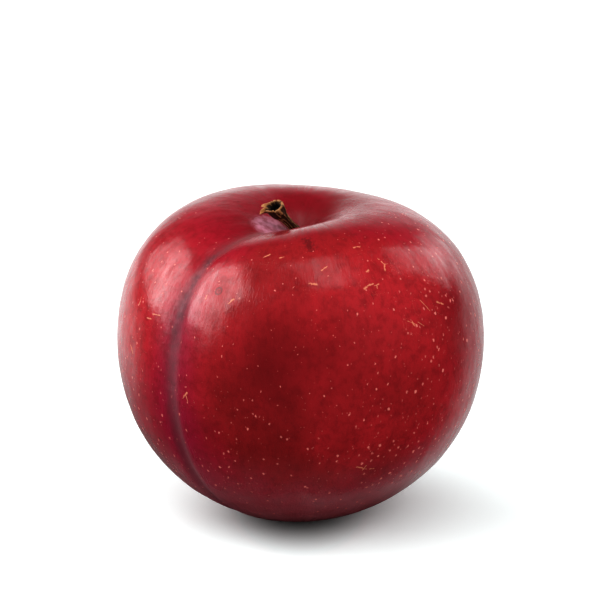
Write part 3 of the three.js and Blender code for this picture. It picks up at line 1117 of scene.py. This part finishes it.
def direction_from_camera(stage, turn, lift):
    """Unit vector at degrees to the right of the camera, seen from the fruit, and above the level."""
    return direction_at(stage.azimuth + math.radians(turn), math.radians(lift))


def camera_axes(stage):
    """Unit vectors from the fruit to the camera, to the image's right and to its top."""
    back = direction_at(stage.azimuth, stage.elevation)
    right = Vector((math.cos(stage.azimuth), math.sin(stage.azimuth), 0))
    return back, right, back.cross(right)


def from_image_middle(stage, pixel):
    """How far a pixel lies to the right and up, for each metre of distance from the camera."""
    scale = SENSOR_WIDTH / (stage.focal_length * IMAGE_SIDE)
    return (pixel[0] - IMAGE_SIDE / 2) * scale, (IMAGE_SIDE / 2 - pixel[1]) * scale


def skin_at(context, fruit, pixel):
    """The skin under a pixel of the camera's image, in millimetres from the body's centre."""
    stage = context.scene.plum_stage
    back, right, up = camera_axes(stage)
    across, above = from_image_middle(stage, pixel)
    way = right * across + up * above - back
    hit, point, _, _ = fruit.ray_cast(context.scene.camera.location, way)
    if not hit:
        raise RuntimeError(f"no skin under pixel {pixel}")
    return (point - body_centre(context.scene.plum_fruit_shape)) / MM


def add_light(kind, name, away, distance, tilt=0):
    """Adds a light that shines at the fruit from a direction, turned about its beam by degrees."""
    facing = away.to_track_quat("Z", "Y") @ Quaternion((0, 0, 1), math.radians(tilt))
    bpy.ops.object.light_add(
        type=kind, location=LIGHT_TARGET + away * distance, rotation=facing.to_euler())
    bpy.context.object.name = name
    return bpy.context.object


def soften(light, share):
    """Lets a rectangular light fade towards its edges."""
    light.use_nodes = True
    graph = Graph(light.node_tree)
    place = graph.split(graph.add("ShaderNodeNewGeometry").outputs["Parametric"])
    edges = []
    for axis in ("X", "Y"):
        from_middle = graph.math("ABSOLUTE", graph.math("SUBTRACT", place[axis], 0.5))
        edges.append(graph.rise(from_middle, low=0.5, high=0.5 - 0.5 * share))
    graph.fill(light.node_tree.nodes["Emission"], {"Strength": graph.product(*edges)})


class PLUM_OT_add_camera(bpy.types.Operator):
    """Adds the camera, aimed so that the fruit stands low in the middle of the image"""

    bl_idname = "plum.add_camera"
    bl_label = "Add Camera"

    def execute(self, context):
        stage = context.scene.plum_stage
        back, right, up = camera_axes(stage)
        across, above = from_image_middle(stage, BODY_CENTRE_IN_IMAGE)
        way = back - right * across - up * above
        place = body_centre(context.scene.plum_fruit_shape) + way * stage.distance
        bpy.ops.object.camera_add(location=place, rotation=back.to_track_quat("Z", "Y").to_euler())
        camera = context.object
        camera.name = "stage_camera"
        camera.data.lens = stage.focal_length
        camera.data.sensor_width = SENSOR_WIDTH
        camera.data.clip_end = 50
        context.scene.camera = camera
        return {"FINISHED"}


class PLUM_OT_add_stage(bpy.types.Operator):
    """Adds the pale floor, the pale surroundings and soft studio light"""

    bl_idname = "plum.add_stage"
    bl_label = "Add Stage"

    def execute(self, context):
        stage = context.scene.plum_stage
        deselect_everything()
        bpy.ops.mesh.primitive_plane_add(size=stage.floor_side)
        floor = name_piece("stage_floor")
        behind = direction_from_camera(stage, 180, 0)
        right = camera_axes(stage)[1]
        floor.data.materials.append(floor_material(stage.floor_colour, behind, right))
        for softbox in SOFTBOXES:
            self.add_softbox(stage, *softbox)
        for sun in SUNS:
            self.add_sun(stage, *sun)
        self.add_surroundings(context, stage)
        context.scene.view_settings.view_transform = "Standard"
        context.scene.view_settings.look = "High Contrast"
        return {"FINISHED"}

    @staticmethod
    def add_softbox(stage, name, turn, lift, width, height, tilt, brightness, softness):
        """Adds a rectangular light that shows in the skin's gloss only."""
        box = add_light("AREA", name, direction_from_camera(stage, turn, lift), SOFTBOX_DISTANCE, tilt)
        box.data.shape = "RECTANGLE"
        box.data.size = 2 * SOFTBOX_DISTANCE * math.tan(math.radians(width / 2))
        box.data.size_y = 2 * SOFTBOX_DISTANCE * math.tan(math.radians(height / 2))
        box.data.energy = brightness * math.pi * box.data.size * box.data.size_y
        soften(box.data, softness)
        box.visible_diffuse = False
        box.visible_camera = False

    @staticmethod
    def add_sun(stage, name, turn, lift, width, strength):
        """Adds a wide soft light that doesn't show in the gloss."""
        sun = add_light("SUN", name, direction_from_camera(stage, turn, lift), SUN_DISTANCE)
        sun.data.angle = math.radians(width)
        sun.data.energy = strength
        sun.visible_glossy = False

    @staticmethod
    def add_surroundings(context, stage):
        """White all round for the camera; the skin mirrors a bright wall behind the fruit only."""
        world = bpy.data.worlds.new("stage_surroundings")
        context.scene.world = world
        world.use_nodes = True
        graph = Graph(world.node_tree)
        looking = graph.add("ShaderNodeTexCoord").outputs["Generated"]
        wall = direction_from_camera(stage, WALL_TURN, 0)
        level = graph.vector("NORMALIZE", graph.vector("MULTIPLY", looking, (1, 1, 0)))
        facing = graph.vector("DOT_PRODUCT", level, wall)
        top = graph.rise(facing, low=0.84, high=0.985, start=0.14, end=0.74)
        edge = graph.rise(facing, low=0.5, high=0.75, end=0.48)
        mirrored = graph.product(
            graph.rise(facing, low=0.94, high=0.99, start=edge, end=0.9),
            graph.rise(graph.split(looking)["Z"], low=top, high=0.0))
        ray = graph.add("ShaderNodeLightPath").outputs
        strength = graph.total(
            graph.product(ray["Is Glossy Ray"], mirrored),
            graph.product(ray["Is Diffuse Ray"], SURROUNDINGS_LIGHT),
            ray["Is Camera Ray"])
        background = world.node_tree.nodes["Background"]
        graph.fill(background, {"Color": (1, 1, 1), "Strength": strength})


# ---- The add-on ----

OPERATORS = (PLUM_OT_add_camera, PLUM_OT_add_fruit, PLUM_OT_add_stalk, PLUM_OT_add_stage)
SETTINGS = {
    "plum_fruit_shape": PlumFruitShape,
    "plum_skin_look": PlumSkinLook,
    "plum_stalk_shape": PlumStalkShape,
    "plum_bark_look": PlumBarkLook,
    "plum_stage": PlumStage,
}


class PLUM_PT_panel(bpy.types.Panel):
    """Lists the pieces of the plum and their settings"""

    bl_idname = "PLUM_PT_panel"
    bl_label = "Plum"
    bl_space_type = "VIEW_3D"
    bl_region_type = "UI"
    bl_category = "Plum"

    def draw(self, context):
        for operator in OPERATORS:
            self.layout.operator(operator.bl_idname)
        for name in SETTINGS:
            box = self.layout.box()
            group = getattr(context.scene, name)
            for setting in group.bl_rna.properties.keys():
                if setting not in ("rna_type", "name"):
                    box.prop(group, setting)


def register():
    for name, group in SETTINGS.items():
        bpy.utils.register_class(group)
        setattr(bpy.types.Scene, name, PointerProperty(type=group))
    for operator in OPERATORS:
        bpy.utils.register_class(operator)
    bpy.utils.register_class(PLUM_PT_panel)


def unregister():
    bpy.utils.unregister_class(PLUM_PT_panel)
    for operator in reversed(OPERATORS):
        bpy.utils.unregister_class(operator)
    for name, group in SETTINGS.items():
        delattr(bpy.types.Scene, name)
        bpy.utils.unregister_class(group)


def main():
    register()
    bpy.ops.plum.add_camera()
    bpy.ops.plum.add_fruit()
    bpy.ops.plum.add_stalk()
    bpy.ops.plum.add_stage()


if __name__ == "__main__":
    main()
